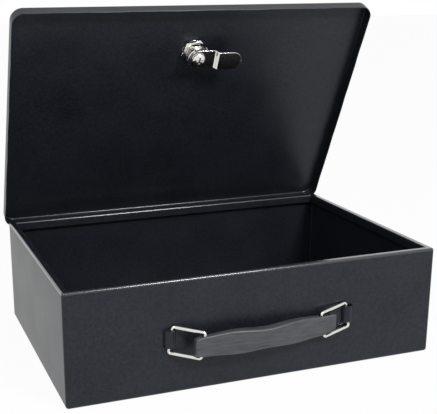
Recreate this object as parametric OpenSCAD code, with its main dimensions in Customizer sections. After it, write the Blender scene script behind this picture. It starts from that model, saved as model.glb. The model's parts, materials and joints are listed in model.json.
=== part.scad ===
// Steel security box: a folded sheet body with a carrying handle on the front,
// and an overhanging pan lid on a continuous hinge, closed by a keyed cam lock.
// X runs to the right, Y to the back and Z up. The origin is the middle of the base.

/* [Body] */
// Outside width of the body
body_w = 364; // [300:1:440]
// Outside depth of the body, front to back
body_d = 244; // [200:1:300]
// Height of the rim above the base
body_h = 106; // [90:1:150]
// Thickness of the body's sheet steel
body_t = 1.2; // [1:0.1:1.4]
// Outside radius of the upright corners and of the bend into the floor
bend_r = 3; // [2.6:0.2:4]
// Outside radius of the bend from a wall into the rim
rim_r = 2; // [1.6:0.2:2.4]
// Width of the flat rim that is folded inwards
rim_w = 7.2; // [6.6:0.2:10]
// Depth of the lip that is folded down inside the rim
lip_h = 9; // [6:0.5:11]

/* [Lid] */
// Angle of the lid as drawn, from closed
lid_angle = 64; // [0:1:115]
// Thickness of the lid's sheet steel
lid_t = 1; // [0.8:0.1:1.2]
// Depth of the lid's pan, from its top to its free edge
lid_depth = 12; // [11:0.5:13]
// Gap between the body's walls and the inside of the lid
lid_gap = 2.7; // [2.6:0.1:3.5]
// Gap between the closed lid and the rim under it
lid_seat = 0.3; // [0.3:0.1:1]
// Outside radius of the lid's corners, seen from above
lid_corner_r = 12; // [8:1:12.4]
// Outside radius of the bend round the lid's edge
lid_bend_r = 2; // [1.6:0.2:2.4]

/* [Hinge] */
// Length of the hinge
hinge_l = 324; // [160:1:350]
// Outside diameter of the hinge's knuckles
knuckle_d = 6; // [5.6:0.2:6.2]
// Diameter of the hinge pin
pin_d = 3; // [2.6:0.1:3.2]
// Number of knuckles
knuckles = 15; // [7:2:21]
// Gap between neighbouring knuckles
knuckle_gap = 0.4; // [0.3:0.1:0.8]
// Thickness of the two hinge leaves
leaf_t = 1.2; // [1:0.1:1.3]
// Height of the leaf on the body's back wall
leaf_h = 16; // [10:1:30]

/* [Lock] */
// Distance of the lock's axis from the front of the lid
lock_setback = 51; // [50:1:80]
// Diameter of the lock's threaded barrel
barrel_d = 19; // [18.4:0.2:19.6]
// Width across the barrel's two flats
barrel_flats = 16.6; // [16:0.2:17.4]
// Length of the barrel under the lid's top face
barrel_l = 14.2; // [13:0.2:15]
// Diameter of the lock's head on top of the lid
head_d = 23; // [22:0.5:26]
// Height of the lock's head
head_h = 2; // [1.8:0.1:2.6]
// Diameter of the plug that the key turns
plug_d = 13; // [12.4:0.2:13.2]
// Width of the lock nut across its flats
nut_af = 25; // [23:0.5:27]
// Thickness of the lock nut
nut_h = 3.4; // [2.6:0.2:4.4]
// Thickness of the washer under the nut
washer_h = 0.8; // [0.5:0.1:1]
// Reach of the cam from the lock's axis
cam_reach = 44; // [36:1:44]
// Width of the cam
cam_w = 19; // [15:0.5:20]
// Thickness of the cam
cam_t = 2; // [1.6:0.1:2.4]
// Distance by which the cam's end is set off from its root
cam_offset = 5; // [3:0.5:8]
// Distance from the lock's axis to the cam's first bend
cam_bend_at = 15.5; // [13:0.5:20]
// Length of the slope between the cam's two bends
cam_bend_run = 5; // [4:0.5:7]
// Side of the plug's square end, which drives the cam
drive_w = 7.8; // [7.2:0.2:8]
// Depth of the strike that the cam turns under
strike_d = 6; // [5:0.5:8]
// Width of the strike
strike_w = 36; // [24:1:60]
// Thickness of the strike's steel
strike_t = 1.5; // [1:0.1:2]

/* [Handle] */
// Distance between the two bridges that hold the handle
bridge_pitch = 176.4; // [150:1:200]
// Height of a bridge
bridge_h = 16; // [12:1:18]
// Diameter of the wire loops
wire_d = 3; // [2.6:0.1:3.2]
// Length of a loop between the axes of its two legs
loop_l = 29.3; // [26:0.5:36]
// Height of a loop between the axes of its two arms
loop_h = 24; // [23:0.5:28]
// Angle by which the strap's weight tips each loop in its own plane
loop_droop = 10; // [4:0.5:11]
// Angle of the left loop out from the front wall
loop_left_angle = 26; // [20:1:32]
// Angle of the right loop out from the front wall
loop_right_angle = 11; // [8:0.5:16]
// Angle by which the loops swing farther out
swing_out = 15; // [8:1:16]
// Angle by which the loops swing back in
swing_in = 3; // [2:1:5]
// Height of the strap
strap_h = 19; // [15:0.2:19.2]
// Thickness of the strap at its ends
strap_t = 6.6; // [6:0.2:7]
// Length of strap past the left loop's leg
strap_left = 8; // [7:0.5:14]
// Length of strap past the right loop's leg
strap_right = 13; // [12:0.5:14]
// Height by which the strap's lower edge rises to its left end
strap_rise_left = 1.4; // [1.2:0.2:4]
// Height by which the strap's lower edge rises to its right end
strap_rise_right = 5; // [2.4:0.2:6]
// Height by which the strap's upper edge falls to its left end
strap_fall = 1.6; // [0:0.2:4]
// Distance by which the middle of the strap bows out from its ends
strap_bow = 3.6; // [1:0.2:6]
// Extra thickness in the middle of the strap
strap_swell = 3.4; // [0:0.2:5]
// Extra height of the strap at its two finger lobes
strap_lobe = 3; // [0:0.2:4]

/* [Hidden] */
$fn = 64;

// Clearances
running_fit = 0.05;      // between a pin or plug and its bore
seat_fit = 0.1;          // between fixed pieces that fit over each other
moving_gap = 0.3;        // between bodies that move past each other
swing_gap = 0.7;         // between the lid's free edge and the hinge web under it
knuckle_room = 0.5;      // between a knuckle and the notch in the other leaf
strike_gap = 0.5;        // between the cam's end and the strike over it
past = 1;                // how far a cut runs past the face it leaves

// Lid, drawn closed and then swung open about the hinge
lid_over = lid_gap + lid_t;
lid_w = body_w + 2 * lid_over;
lid_d = body_d + 2 * lid_over;
lid_top = body_h + lid_seat + lid_t;
lid_edge_z = lid_top - lid_depth;

// Hinge: its knuckles stand against the lid's back, level with the web from the back wall
web_top = lid_edge_z - swing_gap;
hinge_y = body_d / 2 + lid_over + moving_gap + knuckle_d / 2;
hinge_z = web_top - leaf_t + knuckle_d / 2;
knuckle_pitch = hinge_l / knuckles;
knuckle_clear = knuckle_d / 2 + knuckle_room;
leaf_inset = 0.5;

// Lock, measured down from the top of the lid
lock_y = -lid_d / 2 + lock_setback;
stop_h = 0.8;
stop_z = barrel_l + moving_gap;
cam_z = stop_z + stop_h;
drive_end = cam_z + cam_t - seat_fit;
lug_h = cam_z - moving_gap - barrel_l;
lug_w = 1.7;
lock_travel = 90;
nut_turn = -13;
tab_angle = 40;
tab_slack = 2.5;
shoulder_h = 1;
shoulder_over = 0.8;
keyway_l = 7.4;
keyway_w = 1.7;
wafer_count = 5;
wafer_t = 0.7;
wafer_pitch = 1.6;
wafer_first = 1.2;
wafer_w = 5.4;
wafer_l = plug_d - 2.6;
spring_d = 1.2;
spring_l = 3;
spring_wall = 0.5;
spring_x = wafer_w / 2 + spring_d / 2 + spring_wall;
retainer_z = wafer_first + (wafer_count + 0.25) * wafer_pitch;
retainer_over = 0.6;
retainer_reach = plug_d / 2 + retainer_over;
groove_h = 1.2;
groove_side = (groove_h - wafer_t) / 2;
keyway_end = retainer_z - groove_side;
stop_room = 0.4;
screw_d = 4;
screw_l = 6;
screw_head_d = 12.8;
screw_head_h = 2.8;
screw_cross_w = 1.8;
screw_cross_l = 7;
cam_washer_d = 14.4;
cam_washer_h = 0.8;

// Strike: its underside is just above the cam's end when the box is shut
cam_end_z = lid_top - (cam_z + cam_offset);
strike_z = cam_end_z + strike_gap;
strike_inset = 1;
strike_top = body_h - rim_r - strike_inset;

// Handle: each loop's inner leg leans in its bridge, along the wall
arm_gap = 0.7;           // between a loop's upper arm and the bridge under it
leg_shift = 0.5;         // by which the strap draws each leg in from its bridge's middle
leg_out = wire_d / 2 + moving_gap + running_fit;
leg_lean = bridge_h / 2 * tan(loop_droop);
bridge_r = norm([leg_shift + leg_lean, leg_out]) + wire_d / 2 / cos(loop_droop) + moving_gap + body_t;
bridge_mid = body_h / 2;
bridge_z = bridge_mid - bridge_h / 2;
leg_x = bridge_pitch / 2 - leg_shift;
leg_y = -body_d / 2 - leg_out;
arm_top = wire_d / 2 + cos(loop_droop) * (bridge_h / 2 + arm_gap) + sin(loop_droop) * (bridge_r + leg_shift);
wire_bend = wire_d / 2 + 0.6;
strap_sag = 0.3;         // by which the strap hangs below the middle of the left leg
arm_drop = loop_l * sin(loop_droop) * cos(loop_left_angle);
strap_z = bridge_mid + (arm_top - loop_h / 2) * cos(loop_droop) - arm_drop - strap_sag;

// Where a loop's outer leg stands at the strap's mid height, on the left (-1) or right (1)
function leg_slide(angle) = (strap_z - bridge_mid + loop_l * cos(angle) * sin(loop_droop)) * tan(loop_droop);
function leg_reach(angle) = loop_l * cos(angle) * cos(loop_droop) + leg_slide(angle);
function leg_at(side, angle) = [side * (leg_x - leg_reach(angle)), leg_y - loop_l * sin(angle)];
function leg_span(swing) = norm(leg_at(1, loop_right_angle + swing) - leg_at(-1, loop_left_angle + swing));

leg_left = leg_at(-1, loop_left_angle);
leg_right = leg_at(1, loop_right_angle);
strap_span = leg_span(0);
strap_angle = atan2(leg_right.y - leg_left.y, leg_right.x - leg_left.x);
slot_room = 0.4;
slot_side = moving_gap + 0.2;
slot_in = strap_span - leg_span(-swing_in) + slot_room;
slot_out = leg_span(swing_out) - strap_span + slot_room;
slot_left = 3;
strap_l = strap_left + strap_span + strap_right;
strap_steps = 36;

SHEET = [0.19, 0.21, 0.23];
NICKEL = [0.75, 0.74, 0.72];
ZINC = [0.62, 0.62, 0.6];
BRASS = [0.72, 0.58, 0.3];
VINYL = [0.2, 0.21, 0.23];

// A quarter of a ring, from the first quadrant, turned about its centre
module quarter_ring(r, t, turn) {
    rotate(turn) intersection() {
        difference() {
            circle(r);
            circle(r - t);
        }
        square(r);
    }
}

// Carries a profile, drawn inwards from the outer face, round a rectangle with round corners
module carry_round(w, d, r) {
    for (side = [0 : 3]) {
        across = side % 2 == 0 ? w : d;
        along = side % 2 == 0 ? d : w;
        rotate(90 * side) translate([across / 2 - r, along / 2 - r, 0]) {
            rotate_extrude(angle = 90) intersection() {
                translate([r, 0]) mirror([1, 0]) children();
                square([r, body_h + lid_depth]);
            }
            rotate([90, 0, 0]) linear_extrude(along - 2 * r) translate([r, 0]) mirror([1, 0]) children();
        }
    }
}

// Body: floor bend, wall, rim bend and the outer part of the rim
module wall_profile() {
    translate([0, bend_r]) square([body_t, body_h - bend_r - rim_r]);
    translate([bend_r, bend_r]) quarter_ring(bend_r, body_t, 180);
    translate([rim_r, body_h - rim_r]) quarter_ring(rim_r, body_t, 90);
    translate([rim_r, body_h - body_t]) square([bend_r - rim_r, body_t]);
}

// Inner part of the rim and the lip folded down from it
module lip_profile() {
    translate([bend_r, body_h - body_t]) square([rim_w - rim_r - bend_r, body_t]);
    translate([rim_w - rim_r, body_h - rim_r]) quarter_ring(rim_r, body_t, 0);
    translate([rim_w - body_t, body_h - lip_h]) square([body_t, lip_h - rim_r]);
}

// The rim and lip along one wall, mitred at both ends
module lip_side(length) {
    intersection() {
        rotate([90, 0, 90]) linear_extrude(length, center = true) lip_profile();
        translate([0, 0, body_h - lip_h - past]) linear_extrude(lip_h + 2 * past)
            polygon([[-length / 2, 0], [length / 2, 0], [length / 2 - rim_w, rim_w],
                [rim_w - length / 2, rim_w]]);
    }
}

// Half-round bridge pressed out of the front wall
module bridge() {
    translate([0, -body_d / 2, bridge_z]) intersection() {
        difference() {
            cylinder(r = bridge_r, h = bridge_h);
            translate([0, 0, -past]) cylinder(r = bridge_r - body_t, h = bridge_h + 2 * past);
        }
        translate([-bridge_r, -bridge_r, 0]) cube([2 * bridge_r, bridge_r + body_t / 2, bridge_h]);
    }
}

module bridge_opening() {
    translate([-(bridge_r - body_t), -body_d / 2 - past, bridge_z])
        cube([2 * (bridge_r - body_t), body_t + 2 * past, bridge_h]);
}

module body_shell() {
    color(SHEET) {
        difference() {
            carry_round(body_w, body_d, bend_r) wall_profile();
            for (side = [-1, 1]) translate([side * bridge_pitch / 2, 0, 0]) bridge_opening();
        }
        translate([bend_r - body_w / 2, bend_r - body_d / 2, 0])
            cube([body_w - 2 * bend_r, body_d - 2 * bend_r, body_t]);
        for (turn = [0, 180]) rotate(turn) translate([0, -body_d / 2, 0]) lip_side(body_w);
        for (turn = [90, 270]) rotate(turn) translate([0, -body_w / 2, 0]) lip_side(body_d);
        for (side = [-1, 1]) translate([side * bridge_pitch / 2, 0, 0]) bridge();
    }
}

// Angle welded inside the front wall, behind the lip
module strike_bracket() {
    color(SHEET) translate([-strike_w / 2, body_t - body_d / 2, strike_z]) {
        cube([strike_w, strike_d, strike_t]);
        cube([strike_w, strike_t, strike_top - strike_z]);
    }
}

// One knuckle of the hinge, round the pin
module knuckle(index) {
    translate([index * knuckle_pitch - hinge_l / 2 + knuckle_gap / 2, hinge_y, hinge_z]) rotate([0, 90, 0])
        cylinder(d = knuckle_d, h = knuckle_pitch - knuckle_gap);
}

module pin_bore() {
    translate([-hinge_l / 2 - past, hinge_y, hinge_z]) rotate([0, 90, 0])
        cylinder(d = pin_d + 2 * running_fit, h = hinge_l + 2 * past);
}

// Leaf welded to the back wall, with a web under the lid's free edge out to every other knuckle
module hinge_leaf_body() {
    web_z = web_top - leaf_t;
    web_y = hinge_y - knuckle_clear - body_d / 2;
    color(ZINC) difference() {
        union() {
            translate([-hinge_l / 2, body_d / 2, web_top - leaf_h]) cube([hinge_l, leaf_t, leaf_h]);
            translate([-hinge_l / 2, body_d / 2, web_z]) cube([hinge_l, web_y, leaf_t]);
            for (index = [0 : 2 : knuckles - 1]) {
                knuckle(index);
                translate([index * knuckle_pitch - hinge_l / 2 + knuckle_gap / 2, body_d / 2, web_z])
                    cube([knuckle_pitch - knuckle_gap, hinge_y - body_d / 2, leaf_t]);
            }
        }
        pin_bore();
    }
}

module hinge_pin() {
    color(ZINC) translate([-hinge_l / 2, hinge_y, hinge_z]) rotate([0, 90, 0])
        cylinder(d = pin_d, h = hinge_l);
}

// Swings what is drawn closed to where the lid stands
module swing_open() {
    translate([0, hinge_y, hinge_z]) rotate([-lid_angle, 0, 0]) translate([0, -hinge_y, -hinge_z]) children();
}

module lid_profile() {
    translate([0, lid_edge_z]) square([lid_t, lid_depth - lid_bend_r]);
    translate([lid_bend_r, lid_top - lid_bend_r]) quarter_ring(lid_bend_r, lid_t, 90);
    translate([lid_bend_r, lid_top - lid_t]) square([lid_corner_r - lid_bend_r, lid_t]);
}

// Barrel's cross-section, with its two flats
module barrel_section(clearance) {
    intersection() {
        circle(d = barrel_d + 2 * clearance);
        square([2 * barrel_d, barrel_flats + 2 * clearance], center = true);
    }
}

module lid_panel() {
    color(SHEET) swing_open() {
        carry_round(lid_w, lid_d, lid_corner_r) lid_profile();
        translate([0, 0, lid_top - lid_t]) linear_extrude(lid_t) difference() {
            square([lid_w - 2 * lid_corner_r, lid_d - 2 * lid_corner_r], center = true);
            translate([0, lock_y]) barrel_section(seat_fit);
        }
    }
}

// Leaf welded to the outside of the lid's back flange
module hinge_leaf_lid() {
    leaf_y = body_d / 2 + lid_over;
    leaf_low = hinge_z + knuckle_clear;
    leaf_top = lid_top - lid_bend_r - leaf_inset;
    color(ZINC) swing_open() difference() {
        union() {
            translate([-hinge_l / 2, leaf_y, leaf_low]) cube([hinge_l, leaf_t, leaf_top - leaf_low]);
            for (index = [1 : 2 : knuckles - 2]) {
                knuckle(index);
                translate([index * knuckle_pitch - hinge_l / 2 + knuckle_gap / 2, leaf_y, hinge_z])
                    cube([knuckle_pitch - knuckle_gap, leaf_t, leaf_top - hinge_z]);
            }
        }
        pin_bore();
    }
}

// Puts a piece of the lock in the lid: 0 is the top of the lid, and depths are below it
module in_lock() {
    swing_open() translate([0, lock_y, lid_top]) children();
}

// A cylinder between two depths under the top of the lid
module lock_disc(d, from, to) {
    translate([0, 0, -to]) cylinder(d = d, h = to - from);
}

module square_bar(w, from, to) {
    translate([-w / 2, -w / 2, -to]) cube([w, w, to - from]);
}

// A sector of a circle, between two angles
module sector(r, from, to) {
    steps = ceil((to - from) / 30);
    reach = r / cos((to - from) / steps / 2);
    polygon(concat([[0, 0]], [for (i = [0 : steps])
        let (a = from + (to - from) * i / steps) [reach * cos(a), reach * sin(a)]]));
}

// Head, barrel and the lug that stops the cam a quarter turn apart
module lock_housing() {
    tab_half = tab_angle / 2 + tab_slack;
    color(NICKEL) in_lock() difference() {
        union() {
            rotate_extrude() polygon([[0, 0], [head_d / 2, 0], [head_d / 2, head_h / 2],
                [head_d / 2 - head_h / 2, head_h], [0, head_h]]);
            translate([0, 0, -barrel_l]) linear_extrude(barrel_l) barrel_section(0);
            translate([0, 0, -barrel_l - lug_h]) linear_extrude(lug_h) difference() {
                barrel_section(0);
                circle(d = barrel_d - 2 * lug_w);
                sector(barrel_d, -lock_travel - tab_half, tab_half);
            }
        }
        lock_disc(plug_d + 2 * running_fit, -head_h - past, barrel_l + past);
        lock_disc(plug_d + 2 * shoulder_over + 2 * running_fit, -head_h - past,
            shoulder_h + moving_gap - head_h);
        lock_disc(2 * retainer_reach + 2 * moving_gap, retainer_z - moving_gap,
            retainer_z + groove_h + moving_gap);
    }
}

module lock_washer() {
    color(NICKEL) in_lock() difference() {
        lock_disc(nut_af, lid_t, lid_t + washer_h);
        lock_disc(barrel_d + 2 * seat_fit, 0, lid_t + washer_h + past);
    }
}

module lock_nut() {
    from = lid_t + washer_h;
    color(NICKEL) in_lock() difference() {
        translate([0, 0, -from - nut_h]) rotate([0, 0, nut_turn])
            cylinder(d = nut_af / cos(30), h = nut_h, $fn = 6);
        lock_disc(barrel_d + 2 * running_fit, 0, from + nut_h + past);
    }
}

// Slot in the plug for one wafer
module wafer_slot(z) {
    translate([-wafer_w / 2 - seat_fit, -plug_d, -z - wafer_t - seat_fit])
        cube([wafer_w + 2 * seat_fit, 2 * plug_d, wafer_t + 2 * seat_fit]);
}

// Rod of a wafer spring's outside size, or its pocket, beside one wafer
module spring_rod(index, clearance) {
    translate([spring_x, 0, -wafer_first - index * wafer_pitch - wafer_t / 2]) rotate([90, 0, 0])
        cylinder(d = spring_d + 2 * clearance, h = spring_l + 2 * clearance, center = true);
}

module lock_plug() {
    color(NICKEL) in_lock() difference() {
        union() {
            lock_disc(plug_d + 2 * shoulder_over, -head_h, shoulder_h - head_h);
            lock_disc(plug_d, shoulder_h - head_h, barrel_l);
            square_bar(drive_w, barrel_l, drive_end);
        }
        translate([-keyway_w / 2, -keyway_l / 2, -keyway_end])
            cube([keyway_w, keyway_l, keyway_end + head_h + past]);
        for (i = [0 : wafer_count - 1]) wafer_slot(wafer_first + i * wafer_pitch);
        wafer_slot(retainer_z + groove_side);
        for (i = [0 : wafer_count - 1]) spring_rod(i, seat_fit);
        lock_disc(screw_d + 2 * running_fit, drive_end - screw_l, drive_end + past);
    }
}

// One wafer with its window for the key
module wafer(z, length) {
    translate([0, 0, -z - wafer_t]) linear_extrude(wafer_t) difference() {
        intersection() {
            square([wafer_w, length], center = true);
            circle(d = length);
        }
        square([keyway_w + 2 * seat_fit, keyway_l + 2 * seat_fit], center = true);
    }
}

module lock_wafers() {
    color(BRASS) in_lock() for (i = [0 : wafer_count - 1]) wafer(wafer_first + i * wafer_pitch, wafer_l);
}

// Last wafer, which runs in the barrel's groove and keeps the plug in
module plug_retainer() {
    color(BRASS) in_lock() wafer(retainer_z + groove_side, 2 * retainer_reach);
}

// A small spring beside each wafer, as a plain rod of its outside size
module wafer_springs() {
    color(ZINC) in_lock() for (i = [0 : wafer_count - 1]) spring_rod(i, 0);
}

// Disc on the square drive, with the tab that meets the barrel's lug
module cam_stop() {
    disc_r = barrel_d / 2 - lug_w - stop_room;
    color(ZINC) in_lock() translate([0, 0, -stop_z - stop_h]) linear_extrude(stop_h) difference() {
        union() {
            circle(disc_r);
            intersection() {
                circle(barrel_flats / 2);
                sector(barrel_d, -tab_angle / 2, tab_angle / 2);
            }
        }
        square(drive_w + 2 * seat_fit, center = true);
    }
}

// Cam's side view: root, joggle and end
module cam_side() {
    slope = atan(cam_offset / cam_bend_run);
    shift = cam_t * tan(slope / 2);
    bend_end = cam_bend_at + cam_bend_run;
    low = -cam_z - cam_offset;
    polygon([[-cam_w, -cam_z], [cam_bend_at, -cam_z], [bend_end, low], [cam_reach, low],
        [cam_reach, low - cam_t], [bend_end - shift, low - cam_t],
        [cam_bend_at - shift, -cam_z - cam_t], [-cam_w, -cam_z - cam_t]]);
}

module lock_cam() {
    drop = cam_z + cam_offset + cam_t;
    color(NICKEL) in_lock() difference() {
        intersection() {
            rotate([90, 0, 0]) linear_extrude(2 * cam_w, center = true) cam_side();
            translate([0, 0, -drop - past]) linear_extrude(drop + past) union() {
                circle(d = cam_w);
                translate([0, -cam_w / 2]) square([cam_reach - cam_w / 2, cam_w]);
                translate([cam_reach - cam_w / 2, 0]) circle(d = cam_w);
            }
        }
        square_bar(drive_w + 2 * seat_fit, cam_z - past, cam_z + cam_t + past);
    }
}

module cam_washer() {
    from = cam_z + cam_t;
    color(NICKEL) in_lock() difference() {
        lock_disc(cam_washer_d, from, from + cam_washer_h);
        lock_disc(screw_d + 2 * seat_fit, from - past, from + cam_washer_h + past);
    }
}

// Screw with a domed head and a cross recess
module cam_screw() {
    from = cam_z + cam_t + cam_washer_h;
    dome_r = (pow(screw_head_d / 2, 2) + pow(screw_head_h, 2)) / (2 * screw_head_h);
    color(NICKEL) in_lock() difference() {
        union() {
            lock_disc(screw_d, drive_end - screw_l + past, from);
            intersection() {
                lock_disc(screw_head_d, from, from + screw_head_h);
                translate([0, 0, dome_r - from - screw_head_h]) sphere(dome_r);
            }
        }
        for (turn = [0, 90]) rotate(turn)
            translate([-screw_cross_l / 2, -screw_cross_w / 2, -from - screw_head_h - past])
                cube([screw_cross_l, screw_cross_w, past + screw_head_h / 2]);
    }
}

// Wire loop, with one leg on the Z axis and its arms along X
module wire_loop() {
    bend_x = [wire_bend, loop_l - wire_bend];
    straight_h = loop_h - 2 * wire_bend;
    translate([0, 0, arm_top - loop_h]) {
        for (x = [0, loop_l]) translate([x, 0, wire_bend]) cylinder(d = wire_d, h = straight_h);
        for (z = [0, loop_h]) translate([wire_bend, 0, z]) rotate([0, 90, 0])
            cylinder(d = wire_d, h = loop_l - 2 * wire_bend);
        for (x = [0, 1], z = [0, 1]) translate([bend_x[x], 0, wire_bend + z * straight_h]) rotate([90, 0, 0])
            rotate([0, 0, x == z ? (x == 1 ? 0 : 180) : (x == 1 ? 270 : 90)])
                rotate_extrude(angle = 90) translate([wire_bend, 0]) circle(d = wire_d);
    }
}

module handle_loop_left() {
    color(NICKEL) translate([-leg_x, leg_y, bridge_mid]) rotate([0, loop_droop, 0])
        rotate(-loop_left_angle) wire_loop();
}

module handle_loop_right() {
    color(NICKEL) translate([leg_x, leg_y, bridge_mid]) rotate([0, -loop_droop, 0])
        rotate(180 + loop_right_angle) wire_loop();
}

// How far along the strap's middle a point is, as a smooth hump between the two legs
function hump(s) = s <= 0 || s >= strap_span ? 0 : pow(sin(180 * s / strap_span), 2);
// Two finger lobes, a quarter of the way in from each leg
function lobes(s) = s <= 0 || s >= strap_span ? 0 : pow(sin(360 * s / strap_span), 2);
function strap_at(i) = -strap_left + strap_l * i / strap_steps;
function strap_front(s) = -strap_t / 2 - (strap_bow + strap_swell / 2) * hump(s);
function strap_back(s) = strap_t / 2 - (strap_bow - strap_swell / 2) * hump(s);
function past_left(s) = max(0, -s) / strap_left;
function past_right(s) = max(0, s - strap_span) / strap_right;
function strap_half(s) = strap_h / 2 + strap_lobe / 2 * lobes(s);
function strap_top(s) = strap_half(s) - strap_fall * past_left(s);
function strap_low(s) = -strap_half(s) + strap_rise_left * past_left(s) + strap_rise_right * past_right(s);

// Lies a cut along a loop's leg inside the strap, on the left (-1) or right (1)
module along_leg(side) {
    translate([side < 0 ? 0 : strap_span, 0, 0]) rotate(-strap_angle) rotate([0, -side * loop_droop, 0])
        rotate(strap_angle) children();
}

// Moulded strap: its plan and its front view, crossed, with a slot for each loop's leg. The
// left leg sits in the inner end of its slot, and the right one slides in its own.
module handle_grip() {
    tall = strap_h + strap_lobe + 2 * past;
    deep = 4 * (strap_t + strap_bow + strap_swell);
    slot_w = wire_d + 2 * slot_side;
    color(VINYL) translate([leg_left.x, leg_left.y, strap_z]) rotate(strap_angle) difference() {
        intersection() {
            translate([0, 0, -tall / 2]) linear_extrude(tall) polygon(concat(
                [for (i = [0 : strap_steps]) let (s = strap_at(i)) [s, strap_front(s)]],
                [for (i = [strap_steps : -1 : 0]) let (s = strap_at(i)) [s, strap_back(s)]]));
            rotate([90, 0, 0]) linear_extrude(deep, center = true) polygon(concat(
                [for (i = [0 : strap_steps]) let (s = strap_at(i)) [s, strap_low(s)]],
                [for (i = [strap_steps : -1 : 0]) let (s = strap_at(i)) [s, strap_top(s)]]));
        }
        along_leg(-1) {
            fit_w = wire_d + 2 * running_fit;
            translate([-slot_left, -fit_w / 2, -tall / 2]) cube([slot_left, fit_w, tall]);
            for (x = [-slot_left, 0]) translate([x, 0, 0]) cylinder(d = fit_w, h = tall, center = true);
        }
        along_leg(1) {
            translate([-slot_in, -slot_w / 2, -tall / 2]) cube([slot_in + slot_out, slot_w, tall]);
            for (x = [-slot_in, slot_out]) translate([x, 0, 0]) cylinder(d = slot_w, h = tall, center = true);
        }
    }
}

body_shell();
strike_bracket();
hinge_leaf_body();
hinge_pin();
lid_panel();
hinge_leaf_lid();
lock_housing();
lock_washer();
lock_nut();
lock_plug();
lock_wafers();
plug_retainer();
wafer_springs();
cam_stop();
lock_cam();
cam_washer();
cam_screw();
handle_loop_left();
handle_loop_right();
handle_grip();
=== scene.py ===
"""Flat steel security box, open, with a strap handle on wire loops and a cam lock in the lid."""
import json
import math

import bmesh
import bpy
from mathutils import Matrix, Vector


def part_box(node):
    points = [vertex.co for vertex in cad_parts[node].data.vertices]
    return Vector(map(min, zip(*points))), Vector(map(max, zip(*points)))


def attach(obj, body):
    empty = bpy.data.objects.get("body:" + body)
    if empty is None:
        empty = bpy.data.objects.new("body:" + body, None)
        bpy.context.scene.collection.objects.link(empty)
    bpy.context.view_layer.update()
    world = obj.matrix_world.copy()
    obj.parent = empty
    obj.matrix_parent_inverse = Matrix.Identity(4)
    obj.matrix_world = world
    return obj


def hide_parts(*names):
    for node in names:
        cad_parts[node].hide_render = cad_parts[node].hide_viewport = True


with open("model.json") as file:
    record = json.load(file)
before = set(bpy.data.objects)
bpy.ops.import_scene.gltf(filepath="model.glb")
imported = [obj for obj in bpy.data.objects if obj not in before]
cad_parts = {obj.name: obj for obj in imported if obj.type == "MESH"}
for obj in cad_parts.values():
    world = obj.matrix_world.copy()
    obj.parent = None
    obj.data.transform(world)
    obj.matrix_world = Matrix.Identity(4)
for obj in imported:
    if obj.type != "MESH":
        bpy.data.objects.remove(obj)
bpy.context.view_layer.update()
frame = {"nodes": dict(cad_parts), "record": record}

# ---------------------------------------------------------------- camera
# A short telephoto, held a little above the open box and off to its left.
camera_data = bpy.data.cameras.new("camera")
camera = bpy.data.objects.new("camera", camera_data)
bpy.context.scene.collection.objects.link(camera)
bpy.context.scene.camera = camera
camera_data.sensor_width = 36
camera_data.lens = 75.3
camera_data.shift_x = 0.0805
camera_data.shift_y = 0.0739
camera_data.clip_start, camera_data.clip_end = 0.05, 50
azimuth, elevation, roll = (math.radians(angle) for angle in (-20.42, 16.34, -0.14))
back = Vector((
    math.sin(azimuth) * math.cos(elevation), -math.cos(azimuth) * math.cos(elevation), math.sin(elevation)))
camera.rotation_mode = "QUATERNION"
camera.rotation_quaternion = (
    (-back).to_track_quat("-Z", "Y") @ Matrix.Rotation(roll, 3, "Z").to_quaternion())
camera.location = (-0.3354, -0.8220, 0.3607)
bpy.context.scene.view_settings.view_transform = "Standard"


# ---------------------------------------------------------------- floor and studio
# White paper on the floor and a white tent all round. A small soft lamp to the front right draws
# the bright line along the rim, and a larger one to the front left fills in.
class Flow:
    """A socket in a node tree. Sums on it add Math nodes, and add() adds any other node."""

    def __init__(self, tree, socket=None):
        self.tree, self.socket = tree, socket

    def add(self, kind, settings=None, values=None, output=0):
        node = self.tree.nodes.new(kind)
        for name, value in (settings or {}).items():
            setattr(node, name, value)
        for name, value in (values or {}).items():
            if isinstance(value, Flow):
                self.tree.links.new(value.socket, node.inputs[name])
            else:
                node.inputs[name].default_value = value
        return Flow(self.tree, node.outputs[output]) if len(node.outputs) else None

    def maths(self, operation, *terms):
        return self.add("ShaderNodeMath", {"operation": operation}, dict(enumerate(terms)))

    def __add__(self, other):
        return self.maths("ADD", self, other)

    def __sub__(self, other):
        return self.maths("SUBTRACT", self, other)

    def __rsub__(self, other):
        return self.maths("SUBTRACT", other, self)

    def __mul__(self, other):
        return self.maths("MULTIPLY", self, other)

    __radd__, __rmul__ = __add__, __mul__


def blank_tree(owner):
    """The emptied node tree of a material or a world."""
    owner.use_nodes = True
    owner.node_tree.nodes.clear()
    return Flow(owner.node_tree)


def seen_directly(flow):
    """1 where the camera sees a surface, even in a mirror, and 0 for the light that it gives."""
    seen = [flow.add("ShaderNodeLightPath", output=name)
            for name in ("Is Camera Ray", "Is Glossy Ray", "Is Transmission Ray")]
    together = seen[0] + seen[1] + seen[2]
    return together.maths("MINIMUM", together, 1)


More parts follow.
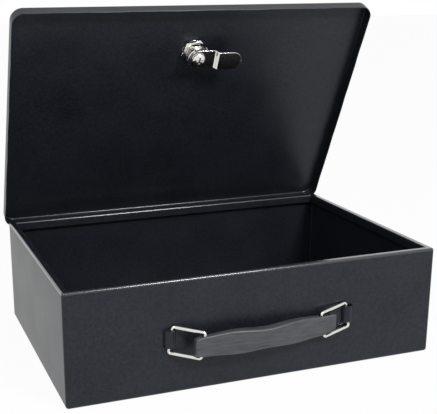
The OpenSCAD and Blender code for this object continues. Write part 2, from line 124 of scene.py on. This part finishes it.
paper_half = 6
paper_grey = (0.8, 0.8, 0.8, 1)
paper_glow = 0.95
white = (1, 1, 1, 1)
corner_signs = ((-1, -1), (1, -1), (1, 1), (-1, 1))
floor_mesh = bpy.data.meshes.new("floor")
floor_mesh.from_pydata(
    [(x * paper_half, y * paper_half, 0) for x, y in corner_signs], [], [(0, 1, 2, 3)])
floor = bpy.data.objects.new("floor", floor_mesh)
bpy.context.scene.collection.objects.link(floor)
paper = bpy.data.materials.new("white_paper")
paper_flow = blank_tree(paper)
paper_shade = paper_flow.add("ShaderNodeMixShader", values={
    0: seen_directly(paper_flow) * paper_glow,
    1: paper_flow.add("ShaderNodeBsdfDiffuse", values={"Color": paper_grey}),
    2: paper_flow.add("ShaderNodeEmission", values={"Color": white, "Strength": 1})})
paper_flow.add("ShaderNodeOutputMaterial", values={"Surface": paper_shade})
floor_mesh.materials.append(paper)

tent_light = 0.45
tent = bpy.data.worlds.new("white_tent")
bpy.context.scene.world = tent
tent_flow = blank_tree(tent)
tent_shade = tent_flow.add("ShaderNodeMixShader", values={
    0: seen_directly(tent_flow),
    1: tent_flow.add("ShaderNodeBackground", values={"Color": white, "Strength": tent_light}),
    2: tent_flow.add("ShaderNodeBackground", values={"Color": white, "Strength": 1})})
tent_flow.add("ShaderNodeOutputWorld", values={"Surface": tent_shade})


def soft_lamp(name, place, aim, width, height, watts):
    """A lamp with a flat panel that faces a point, unseen by the camera."""
    lamp_data = bpy.data.lights.new(name, "AREA")
    lamp_data.shape = "RECTANGLE"
    lamp_data.size, lamp_data.size_y = width, height
    lamp_data.energy = watts
    lamp = bpy.data.objects.new(name, lamp_data)
    bpy.context.scene.collection.objects.link(lamp)
    lamp.location = place
    lamp.rotation_mode = "QUATERNION"
    lamp.rotation_quaternion = (Vector(aim) - Vector(place)).to_track_quat("-Z", "Y")
    lamp.visible_camera = False


rim_middle = (0, 0, 0.1)
soft_lamp("key_lamp", (0.38, -1.05, 0.95), rim_middle, 0.3, 0.2, 13)
soft_lamp("fill_lamp", (-0.9, -0.9, 1.2), rim_middle, 0.6, 0.6, 7)

# ---------------------------------------------------------------- body
# The body is folded from 1.2 mm sheet steel: floor, four walls, a flat rim turned in at the top
# and a lip folded down inside it. Its corners are welded and dressed, and it is powder coated.
# The coat is thicker and glossier along the rim.
mm = 0.001
body_low, body_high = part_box("body_shell")
body_w, body_d, body_h = body_high.x - body_low.x, 2 * body_high.y, body_high.z
body_t = 1.2 * mm
floor_bend = 3 * mm
rim_bend = 2 * mm
rim_w = 7.2 * mm
lip_h = 9 * mm
cut_edge = 0.25 * mm
mitre_r = 0.3 * mm


def arc(across, up, r, first, last, steps):
    """Points on an arc about (across, up), from one angle in degrees to another."""
    angles = [math.radians(first + (last - first) * step / steps) for step in range(steps + 1)]
    return [(across + r * math.cos(angle), up + r * math.sin(angle)) for angle in angles]


def between(start, end, steps):
    """Points that divide a straight side into equal steps, without its ends."""
    return [tuple(a + (b - a) * step / steps for a, b in zip(start, end)) for step in range(1, steps)]


def round_rectangle(width, depth, r, corner_steps, side_steps):
    """Points of a round-cornered rectangle from above, anticlockwise, with its sides divided."""
    ring = []
    for quarter, (x, y) in enumerate(((1, 1), (-1, 1), (-1, -1), (1, -1))):
        across, up = x * (width / 2 - r), y * (depth / 2 - r)
        corner = arc(across, up, r, 90 * quarter, 90 * quarter + 90, corner_steps)
        if ring:
            ring += between(ring[-1], corner[0], side_steps)
        ring += corner
    return ring + between(ring[-1], ring[0], side_steps)


def smoothed(mesh, sharp):
    """Shades a mesh smooth, except at edges sharper than an angle in degrees."""
    mesh.polygons.foreach_set("use_smooth", [True] * len(mesh.polygons))
    mesh.set_sharp_from_angle(angle=math.radians(sharp))


soft_edge = 35


def made(name, points, faces, sharp):
    """A smooth mesh object with its normals outwards."""
    mesh = bpy.data.meshes.new(name)
    mesh.from_pydata([tuple(point) for point in points], [], faces)
    work = bmesh.new()
    work.from_mesh(mesh)
    bmesh.ops.recalc_face_normals(work, faces=work.faces)
    work.to_mesh(mesh)
    work.free()
    smoothed(mesh, sharp)
    piece = bpy.data.objects.new(name, mesh)
    bpy.context.scene.collection.objects.link(piece)
    return piece


def lofted(name, sections, closed=False, sharp=soft_edge):
    """A skin over sections of equally many points, closed on itself or with flat ends."""
    count = len(sections[0])
    points = [point for section in sections for point in section]
    faces = []
    for row in range(len(sections) if closed else len(sections) - 1):
        here, above = row * count, (row + 1) % len(sections) * count
        faces += [(here + i, here + (i + 1) % count, above + (i + 1) % count, above + i)
                  for i in range(count)]
    if not closed:
        faces += [tuple(range(count)), tuple(range(len(points) - count, len(points)))]
    return made(name, points, faces, sharp)


def cut_by(target, cutters, sharp=soft_edge):
    """Cuts solids out of a piece and throws them away."""
    for cutter in cutters:
        cut = target.modifiers.new("cut", "BOOLEAN")
        cut.operation, cut.object, cut.solver = "DIFFERENCE", cutter, "EXACT"
    settled = target.evaluated_get(bpy.context.evaluated_depsgraph_get())
    target.data = bpy.data.meshes.new_from_object(settled)
    target.modifiers.clear()
    smoothed(target.data, sharp)
    for cutter in cutters:
        bpy.data.objects.remove(cutter)


def flat_shaded(target):
    """Lets the large flats keep their own normals beside small bends."""
    weighted = target.modifiers.new("flats", "WEIGHTED_NORMAL")
    weighted.keep_sharp = True


bend_steps, inner_steps, rim_steps = 6, 4, 3
floor_border = 4 * floor_bend
wall_path = (
    [(floor_border, 0)]
    + arc(floor_bend, floor_bend, floor_bend, 270, 180, bend_steps)
    + arc(rim_bend, body_h - rim_bend, rim_bend, 180, 90, bend_steps)
    + arc(rim_w - rim_bend, body_h - rim_bend, rim_bend, 90, 0, bend_steps)
    + [(rim_w, body_h - lip_h + cut_edge), (rim_w - cut_edge, body_h - lip_h),
       (rim_w - body_t + cut_edge, body_h - lip_h), (rim_w - body_t, body_h - lip_h + cut_edge)]
    + arc(rim_w - rim_bend, body_h - rim_bend, rim_bend - body_t, 0, 90, rim_steps)
    + arc(rim_bend, body_h - rim_bend, rim_bend - body_t, 90, 180, rim_steps)
    + arc(floor_bend, floor_bend, floor_bend - body_t, 180, 270, inner_steps)
    + [(floor_border, body_t)])
corner_steps = 5
body = lofted("body", [
    [(x, y, up) for x, y in round_rectangle(
        body_w - 2 * inset, body_d - 2 * inset, max(floor_bend - inset, mitre_r), corner_steps, 1)]
    for inset, up in wall_path])


def finish_named(name):
    """A new material, its node tree and the piece's own coordinates in that tree."""
    finish = bpy.data.materials.new(name)
    flow = blank_tree(finish)
    return finish, flow, flow.add("ShaderNodeTexCoord", output="Object")


def speckle(flow, place, scale, detail=2, rough=0.5):
    """A soft random pattern, with a scale in spots to the metre."""
    return flow.add("ShaderNodeTexNoise", values={
        "Vector": place, "Scale": scale, "Detail": detail, "Roughness": rough})


powder_dark = (0.0054, 0.0063, 0.0094, 1)
powder_light = (0.0154, 0.0176, 0.0236, 1)
rim_from, rim_to = body_h - 2.3 * mm, body_h + 0.3 * mm
powder, flow, place = finish_named("powder_coat")
orange_peel = speckle(flow, place, 900)
grit = speckle(flow, place, 430, 1)
cloud = speckle(flow, place, 22, 3)
sheet_wave = speckle(flow, place, 9, 0)
waved = flow.add("ShaderNodeBump", values={"Strength": 0.35, "Distance": 1 * mm, "Height": sheet_wave})
height = flow.add("ShaderNodeSeparateXYZ", values={"Vector": place}, output=2)
on_rim = height.maths("COMPARE", height, (rim_from + rim_to) / 2, (rim_to - rim_from) / 2)
peeled = flow.add("ShaderNodeBump", values={
    "Strength": 0.5, "Distance": 0.1 * mm, "Normal": waved,
    "Height": (orange_peel * 0.4 + grit * 0.6 - 0.5) * (1 - on_rim * 0.7)})
shade = flow.add("ShaderNodeMix", {"data_type": "RGBA"}, {
    0: grit * 1.4 + cloud * 0.8 + orange_peel * 0.4 - 0.8, 6: powder_dark, 7: powder_light}, output=2)
surface = flow.add("ShaderNodeBsdfPrincipled", values={
    "Base Color": shade, "Normal": peeled,
    "Roughness": cloud * 0.1 + orange_peel * 0.06 + 0.25 - on_rim * 0.1,
    "Specular IOR Level": 0.3, "Specular Tint": (0.90, 0.95, 1, 1),
    "Coat Weight": on_rim, "Coat Roughness": 0.18})
flow.add("ShaderNodeOutputMaterial", values={"Surface": surface})
body.data.materials.append(powder)

# ---------------------------------------------------------------- bridges
# A half-round bridge is lanced and pressed out of the front wall for each wire loop, with an
# open slot in the wall behind it and a small radius where it leaves the sheet.
joints = {joint["name"]: joint for joint in frame["record"]["behaviour"]["joints"]}
leg_pivot = Vector(joints["handle_right_swing"]["pos_m"])
leg_shift = 0.5 * mm  # from the leg's middle out to the bridge's
bridge_x = leg_pivot.x + leg_shift
bridge_r = -body_d / 2 - body_low.y
bridge_h = 16 * mm
bridge_low = body_h / 2 - bridge_h / 2
foot_r = 0.7 * mm
foot_sunk = 0.02 * mm
arch_steps = 22


def block(name, low, high):
    """A plain block between its lowest and highest corners."""
    corners = [(x, y, z) for z in (low[2], high[2])
               for x, y in ((low[0], low[1]), (high[0], low[1]), (high[0], high[1]), (low[0], high[1]))]
    return lofted(name, [corners[:4], corners[4:]])


front_y = -body_d / 2
slot_half = bridge_r - body_t
cut_by(body, [
    block("slot", (side * bridge_x - slot_half, front_y - body_t, bridge_low),
          (side * bridge_x + slot_half, front_y + 2 * body_t, bridge_low + bridge_h))
    for side in (-1, 1)])
flat_shaded(body)
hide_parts("body_shell")
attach(body, "box")


def bridge_section(trim):
    """The arch from below, with its feet spread on to the wall."""
    outer = [point for point in arc(0, 0, bridge_r - trim, 200, 340, arch_steps) if point[1] < -foot_r]
    inner = [point for point in arc(0, 0, slot_half + trim, 345, 195, arch_steps) if point[1] < 0]
    left_foot = [(-bridge_r - foot_r, foot_sunk), (-bridge_r - foot_r / 3, -foot_r / 3)]
    right_foot = [(-x, y) for x, y in reversed(left_foot)]
    return (left_foot + outer + right_foot
            + [(slot_half, body_t / 2)] + inner + [(-slot_half, body_t / 2)])


for side in (-1, 1):
    bridge = lofted("bridge", [
        [(side * bridge_x + x, front_y + y, bridge_low + up) for x, y in bridge_section(trim)]
        for up, trim in ((0, cut_edge), (cut_edge, 0), (bridge_h - cut_edge, 0), (bridge_h, cut_edge))])
    bridge.data.materials.append(powder)
    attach(bridge, "box")

# ---------------------------------------------------------------- lid
# The lid is a shallow pan of 1 mm sheet, drawn with round corners, which overhangs the body.
# Its free edge is a plain cut edge that waves slightly. It is powder coated with the body.
lid_t = 1 * mm
lid_over = 3.7 * mm
lid_w, lid_d = body_w + 2 * lid_over, body_d + 2 * lid_over
lid_top = body_h + 1.3 * mm
lid_depth = 12 * mm
lid_corner = 12 * mm
lid_bend = 2 * mm
lid_low = lid_top - lid_depth
lid_middle = (lid_low + lid_top) / 2
lid_border = 1.4 * lid_corner
lid_corner_steps, lid_side_steps = 12, 24
hinge = Vector(joints["lid_hinge"]["pos_m"])
lid_angle = math.radians(-joints["lid_hinge"]["range_deg"][0])
swung_open = Matrix.Translation(hinge) @ Matrix.Rotation(-lid_angle, 4, "X") @ Matrix.Translation(-hinge)
wave_h = 0.16 * mm
long_wave, short_wave, side_stretch = 88, 173, 1.3


def flange_wave(x, y, up):
    """How far the free edge stands out of true, from none at the lid's bend."""
    free = max(0, (lid_top - lid_bend - up) / (lid_depth - lid_bend))
    along = x if abs(y) > abs(x) * lid_d / lid_w else y * side_stretch
    waves = math.sin(along * long_wave + 0.6) + 0.6 * math.sin(along * short_wave + 2)
    return wave_h * free * free * waves


def lid_point(x, y, up):
    """A point of the shut lid, waved at its edge and swung open."""
    wave = 2 * flange_wave(x, y, up)
    return swung_open @ Vector((x * (1 + wave / lid_w), y * (1 + wave / lid_d), up))


lid_path = (
    [(lid_border, lid_top)]
    + arc(lid_bend, lid_top - lid_bend, lid_bend, 90, 180, bend_steps)
    + [(0, lid_middle), (0, lid_low + cut_edge), (cut_edge, lid_low),
       (lid_t - cut_edge, lid_low), (lid_t, lid_low + cut_edge), (lid_t, lid_middle)]
    + arc(lid_bend, lid_top - lid_bend, lid_bend - lid_t, 180, 90, inner_steps)
    + [(lid_border, lid_top - lid_t)])
lid = lofted("lid", [
    [lid_point(x, y, up) for x, y in round_rectangle(
        lid_w - 2 * inset, lid_d - 2 * inset, max(lid_corner - inset, mitre_r),
        lid_corner_steps, lid_side_steps)]
    for inset, up in lid_path])
lid.data.materials.append(powder)
flat_shaded(lid)
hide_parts("lid_panel")
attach(lid, "lid")

# ---------------------------------------------------------------- strike
# The strike is a small angle of 1.5 mm sheet steel, welded inside the front wall for the cam to
# turn under. It is powder coated with the body.


def give(nodes, finish):
    """Puts a finish on CAD pieces whose solids are shown as they are."""
    for name in nodes:
        frame["nodes"][name].material_slots[0].material = finish


give(["strike_bracket"], powder)

# ---------------------------------------------------------------- hinge
# A continuous hinge of two zinc-plated steel leaves, with its knuckles rolled round a plain
# pin. Both leaves are spot welded, one to the back wall and one to the lid's back flange.


def surfaced(flow, dark, light, tone, roughness, relief, relief_h, strength, metallic=1.0):
    """Ends a finish: two colours mixed by a tone, a roughness, and a relief of some height."""
    shade = flow.add("ShaderNodeMix", {"data_type": "RGBA"}, {0: tone, 6: dark, 7: light}, output=2)
    bump = flow.add("ShaderNodeBump", values={
        "Strength": strength, "Distance": relief_h, "Height": relief})
    surface = flow.add("ShaderNodeBsdfPrincipled", values={
        "Base Color": shade, "Metallic": metallic, "Roughness": roughness, "Normal": bump})
    flow.add("ShaderNodeOutputMaterial", values={"Surface": surface})


zinc, flow, place = finish_named("dark_steel")
bloom = speckle(flow, place, 60, 4)
grains = speckle(flow, place, 1400)
drawn_along = flow.add("ShaderNodeMapping", values={"Vector": place, "Scale": (30, 1800, 1800)})
drawn = speckle(flow, drawn_along, 1)
surfaced(
    flow, dark=(0.20, 0.20, 0.195, 1), light=(0.36, 0.36, 0.35, 1), tone=bloom,
    roughness=bloom * 0.25 + grains * 0.1 + 0.25,
    relief=drawn * 0.6 + grains * 0.4, relief_h=0.03 * mm, strength=0.3)
give(["hinge_leaf_body", "hinge_leaf_lid", "hinge_pin", "wafer_springs", "cam_stop"], zinc)

# ---------------------------------------------------------------- lock
# A 19 mm cam lock of bright nickel-plated zinc: a threaded barrel with two flats, a chamfered
# hexagon nut on a washer, brass wafers in the plug, and a joggled steel cam under a domed screw.
lock_setback = 51 * mm
in_lock = swung_open @ Matrix.Translation((0, lock_setback - lid_d / 2, lid_top))
barrel_r = 9.5 * mm
barrel_flat = 8.3 * mm
barrel_l = 14.2 * mm
thread_pitch = 1.5 * mm
thread_depth = 0.32 * mm
thread_from = 1.2 * mm
thread_rows = 66
barrel_chamfer = 0.7 * mm
head_r = 11.5 * mm
head_h = 2 * mm
bore_r = 6.56 * mm
plug_seat_r = bore_r + 0.8 * mm
plug_seat_up = head_h - 1.4 * mm
fine_edge = 0.2 * mm
round_steps = 96


def ring_points(r, up, flat=None, pitch=None, depth=0):
    """A ring round the lock's axis, cut to two flats, or with a thread that climbs as it turns."""
    ring = []
    for step in range(round_steps):
        angle = 2 * math.pi * step / round_steps
        reach = r
        if pitch:
            phase = (up / pitch + step / round_steps) % 1
            reach -= depth * abs(2 * phase - 1)
        if flat:
            reach = min(reach, flat / max(abs(math.sin(angle)), 0.01))
        ring.append(in_lock @ Vector((reach * math.cos(angle), reach * math.sin(angle), up)))
    return ring


nickel, flow, place = finish_named("lock_nickel")
haze = speckle(flow, place, 260, 3)
pits = speckle(flow, place, 2600)
swell = speckle(flow, place, 380, 1)
surfaced(
    flow, dark=(0.70, 0.685, 0.655, 1), light=(0.84, 0.825, 0.80, 1), tone=haze,
    roughness=haze * 0.08 + 0.11,
    relief=swell * 0.9 + pits * 0.1, relief_h=0.02 * mm, strength=0.08)

head_rings = [ring_points(r, up) for r, up in (
    (plug_seat_r, head_h), (8.6 * mm, head_h), (head_r - 1.1 * mm, head_h - 0.12 * mm),
    (head_r - 0.3 * mm, head_h - 0.7 * mm), (head_r, head_h / 2),
    (head_r, 0.15 * mm), (head_r - 0.15 * mm, 0))]
thread_l = barrel_l - thread_from - barrel_chamfer
thread_rings = [ring_points(barrel_r - thread_depth, 0, barrel_flat)]
thread_rings += [
    ring_points(barrel_r, -thread_from - thread_l * row / thread_rows,
                barrel_flat, thread_pitch, thread_depth)
    for row in range(thread_rows + 1)]
thread_rings.append(ring_points(barrel_r - barrel_chamfer, -barrel_l, barrel_flat))
bore_rings = [ring_points(r, up) for r, up in (
    (bore_r + fine_edge, -barrel_l), (bore_r, fine_edge - barrel_l),
    (bore_r, plug_seat_up), (plug_seat_r, plug_seat_up))]
housing = lofted("lock_barrel", head_rings + thread_rings + bore_rings, closed=True, sharp=50)
housing.data.materials.append(nickel)
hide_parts("lock_housing")
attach(housing, "lid")

nut_flat = 12.5 * mm
nut_turn = math.radians(-13)
nut_h = 3.4 * mm
washer_r = 12.5 * mm
washer_h = 0.8 * mm
washer_bore = barrel_r + 0.1 * mm
hub_r = barrel_r + 0.05 * mm
nut_chamfer = ((0, 1), (0.45 * mm, 1.07), (1 * mm, 1.18))
sixth = math.pi / 3


def hexagon_points(up, cone):
    """A ring of the nut: its hexagon, rounded off by the chamfer's cone."""
    ring = []
    for step in range(round_steps):
        angle = 2 * math.pi * (step + 0.5) / round_steps
        from_flat = (angle + sixth / 2) % sixth - sixth / 2
        reach = min(nut_flat / math.cos(from_flat), cone)
        turned = angle + sixth / 2 + nut_turn
        ring.append(in_lock @ Vector((reach * math.cos(turned), reach * math.sin(turned), up)))
    return ring


nut_near = -lid_t - washer_h
nut_far = nut_near - nut_h
nut = lofted(
    "lock_nut",
    [ring_points(hub_r, nut_near), ring_points(barrel_r + 1 * mm, nut_near)]
    + [hexagon_points(nut_near - down, nut_flat * cone) for down, cone in nut_chamfer]
    + [hexagon_points(nut_far + down, nut_flat * cone) for down, cone in reversed(nut_chamfer)]
    + [ring_points(barrel_r + 0.8 * mm, nut_far), ring_points(hub_r, nut_far + 0.7 * mm)],
    closed=True, sharp=28)
washer = lofted("lock_washer", [
    ring_points(r, -lid_t - down) for r, down in (
        (washer_bore, 0), (washer_r - fine_edge, 0), (washer_r, fine_edge),
        (washer_r, washer_h - fine_edge), (washer_r - fine_edge, washer_h), (washer_bore, washer_h))],
    closed=True)
for turned, name in ((nut, "lock_nut"), (washer, "lock_washer")):
    turned.data.materials.append(nickel)
    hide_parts(name)
    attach(turned, "lid")
give(["lock_plug", "cam_washer", "cam_screw"], nickel)

# The cam is blanked from 2 mm steel, joggled in a press tool and tumbled before it is plated,
# so that all its edges are rounded.
cam_gap = 0.3 * mm
stop_h = 0.8 * mm
cam_z = barrel_l + cam_gap + stop_h
cam_t = 2 * mm
cam_half = 9.5 * mm
cam_reach = 44 * mm
cam_offset = 5 * mm
cam_bend, cam_bend_run = 15.5 * mm, 5 * mm
cam_round = 0.4 * mm
bend_round = 0.35 * mm
joggle_from, joggle_run = cam_bend - bend_round, cam_bend_run + 2 * bend_round
end_steps, joggle_steps, cam_edge_steps = 14, 28, 4


def cam_depth(x):
    """Depth of the cam's upper face at a distance along it: a joggle, steepest at its middle."""
    part = min(max((x - joggle_from) / joggle_run, 0), 1)
    return cam_offset * part ** 3 * (10 - 15 * part + 6 * part * part)


def round_outline(left, right, low, top, r, steps):
    """The outline of a bar's section between its four sides, with round corners."""
    corners = ((right - r, top - r), (left + r, top - r), (left + r, low + r), (right - r, low + r))
    return [point for quarter, (across, up) in enumerate(corners)
            for point in arc(across, up, r, 90 * quarter, 90 * quarter + 90, steps)]


def cam_station(x, half):
    """A section across the cam, a flat bar with rounded edges."""
    top = -cam_z - cam_depth(x)
    outline = round_outline(-half, half, top - cam_t, top, min(cam_round, half * 0.9), cam_edge_steps)
    return [in_lock @ Vector((x, across, up)) for across, up in outline]


near_tip, far_tip = 0.03, math.radians(88.3)
end_turns = [math.radians(90 * step / end_steps) for step in range(1, end_steps + 1)]
stations = [(-cam_half * math.cos(turn), cam_half * math.sin(turn)) for turn in [near_tip] + end_turns]
stations += [(joggle_from + joggle_run * step / joggle_steps, cam_half) for step in range(joggle_steps + 1)]
stations += [(cam_reach - cam_half + cam_half * math.sin(turn), cam_half * math.cos(turn))
             for turn in [0] + end_turns[:-1] + [far_tip]]
cam = lofted("lock_cam", [cam_station(x, half) for x, half in stations], sharp=60)
flat_shaded(cam)
cam.data.materials.append(nickel)
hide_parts("lock_cam")
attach(cam, "lock_core")

# The wafers and the wafer that keeps the plug in are stamped from brass strip and left plain.
brass, flow, place = finish_named("wafer_brass")
stamped = speckle(flow, place, 900, 3)
surfaced(
    flow, dark=(0.50, 0.36, 0.14, 1), light=(0.68, 0.52, 0.24, 1), tone=stamped,
    roughness=stamped * 0.2 + 0.2, relief=stamped, relief_h=0.02 * mm, strength=0.2)
give(["lock_wafers", "plug_retainer"], brass)

# ---------------------------------------------------------------- wire loops
# Each loop is 3 mm steel wire, bent round four pins and butt welded, then nickel plated. Its
# inner leg hangs in a bridge and its outer leg runs through the strap.
wire, flow, place = finish_named("wire_nickel")
drawn = speckle(flow, place, 420, 3)
fine = speckle(flow, place, 3200)
surfaced(
    flow, dark=(0.60, 0.59, 0.57, 1), light=(0.80, 0.79, 0.77, 1), tone=drawn,
    roughness=drawn * 0.14 + 0.10,
    relief=drawn * 0.5 + fine * 0.5, relief_h=0.02 * mm, strength=0.25)
give(["handle_loop_left", "handle_loop_right"], wire)

# ---------------------------------------------------------------- strap
# The grip is one soft vinyl moulding, bowed out from the box, with two swells for the fingers,
# rounded edges and a fine lengthwise grain. Its ends are bored for the loops' outer legs.
strap_leg = Vector(joints["handle_grip_turn"]["pos_m"])
droop = math.asin(-joints["handle_grip_turn"]["axis"][0])
strap_left, strap_right = 8 * mm, 13 * mm
strap_span = 121.69 * mm
strap_turn = math.radians(3.417)
strap_h, strap_t = 19 * mm, 6.6 * mm
strap_bow, strap_swell, strap_lobe = 3.6 * mm, 3.4 * mm, 3 * mm
rise_left, rise_right, fall_left = 1.4 * mm, 5 * mm, 1.6 * mm
edge_r, edge_swell = 1.6 * mm, 0.6 * mm
edge_steps = 6
at_strap = Matrix.Translation(strap_leg) @ Matrix.Rotation(strap_turn, 4, "Z")


def strap_section(s, shrink=0):
    """A section across the strap, a distance along it from the left leg."""
    share = min(max(s / strap_span, 0), 1)
    hump = math.sin(math.pi * share) ** 2
    lobe = math.sin(2 * math.pi * share) ** 2
    past_left, past_right = max(0, -s) / strap_left, max(0, s - strap_span) / strap_right
    front = -strap_t / 2 - (strap_bow + strap_swell / 2) * hump + shrink
    rear = strap_t / 2 - (strap_bow - strap_swell / 2) * hump - shrink
    top = strap_h / 2 + strap_lobe / 2 * lobe - fall_left * past_left - shrink
    low = (-strap_h / 2 - strap_lobe / 2 * lobe + rise_left * past_left
           + rise_right * past_right + shrink)
    r = edge_r + edge_swell * hump - shrink / 2
    outline = round_outline(front, rear, low, top, r, edge_steps)
    return [at_strap @ Vector((s, across, up)) for across, up in outline]


strap_steps = 72
end_round = 1.3 * mm
end_trims = ((0, end_round), (0.25 * mm, 0.62 * mm), (0.7 * mm, 0.2 * mm), (end_round, 0))
middle_l = strap_left + strap_span + strap_right - 2 * end_round
strap_sections = [strap_section(along - strap_left, trim) for along, trim in end_trims]
strap_sections += [strap_section(end_round - strap_left + middle_l * step / strap_steps)
                   for step in range(1, strap_steps)]
strap_sections += [strap_section(strap_span + strap_right - along, trim)
                   for along, trim in reversed(end_trims)]
strap_edge = 40
strap = lofted("strap", strap_sections, sharp=strap_edge)
bore_half = 16 * mm
bore_steps = 12


def leg_bore(side, r, first, last):
    """A bore along a loop's leaning leg, drawn out into a slot between two distances."""
    lean = (Matrix.Translation((0 if side < 0 else strap_span, 0, 0)) @ Matrix.Rotation(-strap_turn, 4, "Z")
            @ Matrix.Rotation(-side * droop, 4, "Y") @ Matrix.Rotation(strap_turn, 4, "Z"))
    outline = arc(last, 0, r, -90, 90, bore_steps) + arc(first, 0, r, 90, 270, bore_steps)
    return lofted("bore", [[at_strap @ lean @ Vector((x, y, up)) for x, y in outline]
                           for up in (-bore_half, bore_half)])


snug_bore = leg_bore(-1, 1.56 * mm, -3 * mm, 0)
loose_slot = leg_bore(1, 2 * mm, -1.3 * mm, 7.09 * mm)
cut_by(strap, [snug_bore, loose_slot], strap_edge)

vinyl, flow, place = finish_named("strap_vinyl")
grain_along = flow.add("ShaderNodeMapping", values={"Vector": place, "Scale": (55, 350, 520)})
grain = speckle(flow, grain_along, 1, 4, 0.6)
pebble = speckle(flow, place, 1500)
rubbed = speckle(flow, place, 35, 3)
surfaced(
    flow, dark=(0.014, 0.015, 0.018, 1), light=(0.072, 0.078, 0.087, 1),
    tone=grain * 1.3 + rubbed * 0.6 - 0.45,
    roughness=rubbed * 0.14 + grain * 0.12 + 0.30,
    relief=grain * 0.75 + pebble * 0.25, relief_h=0.2 * mm, strength=0.75, metallic=0)
strap.data.materials.append(vinyl)
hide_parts("handle_grip")
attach(strap, "grip")
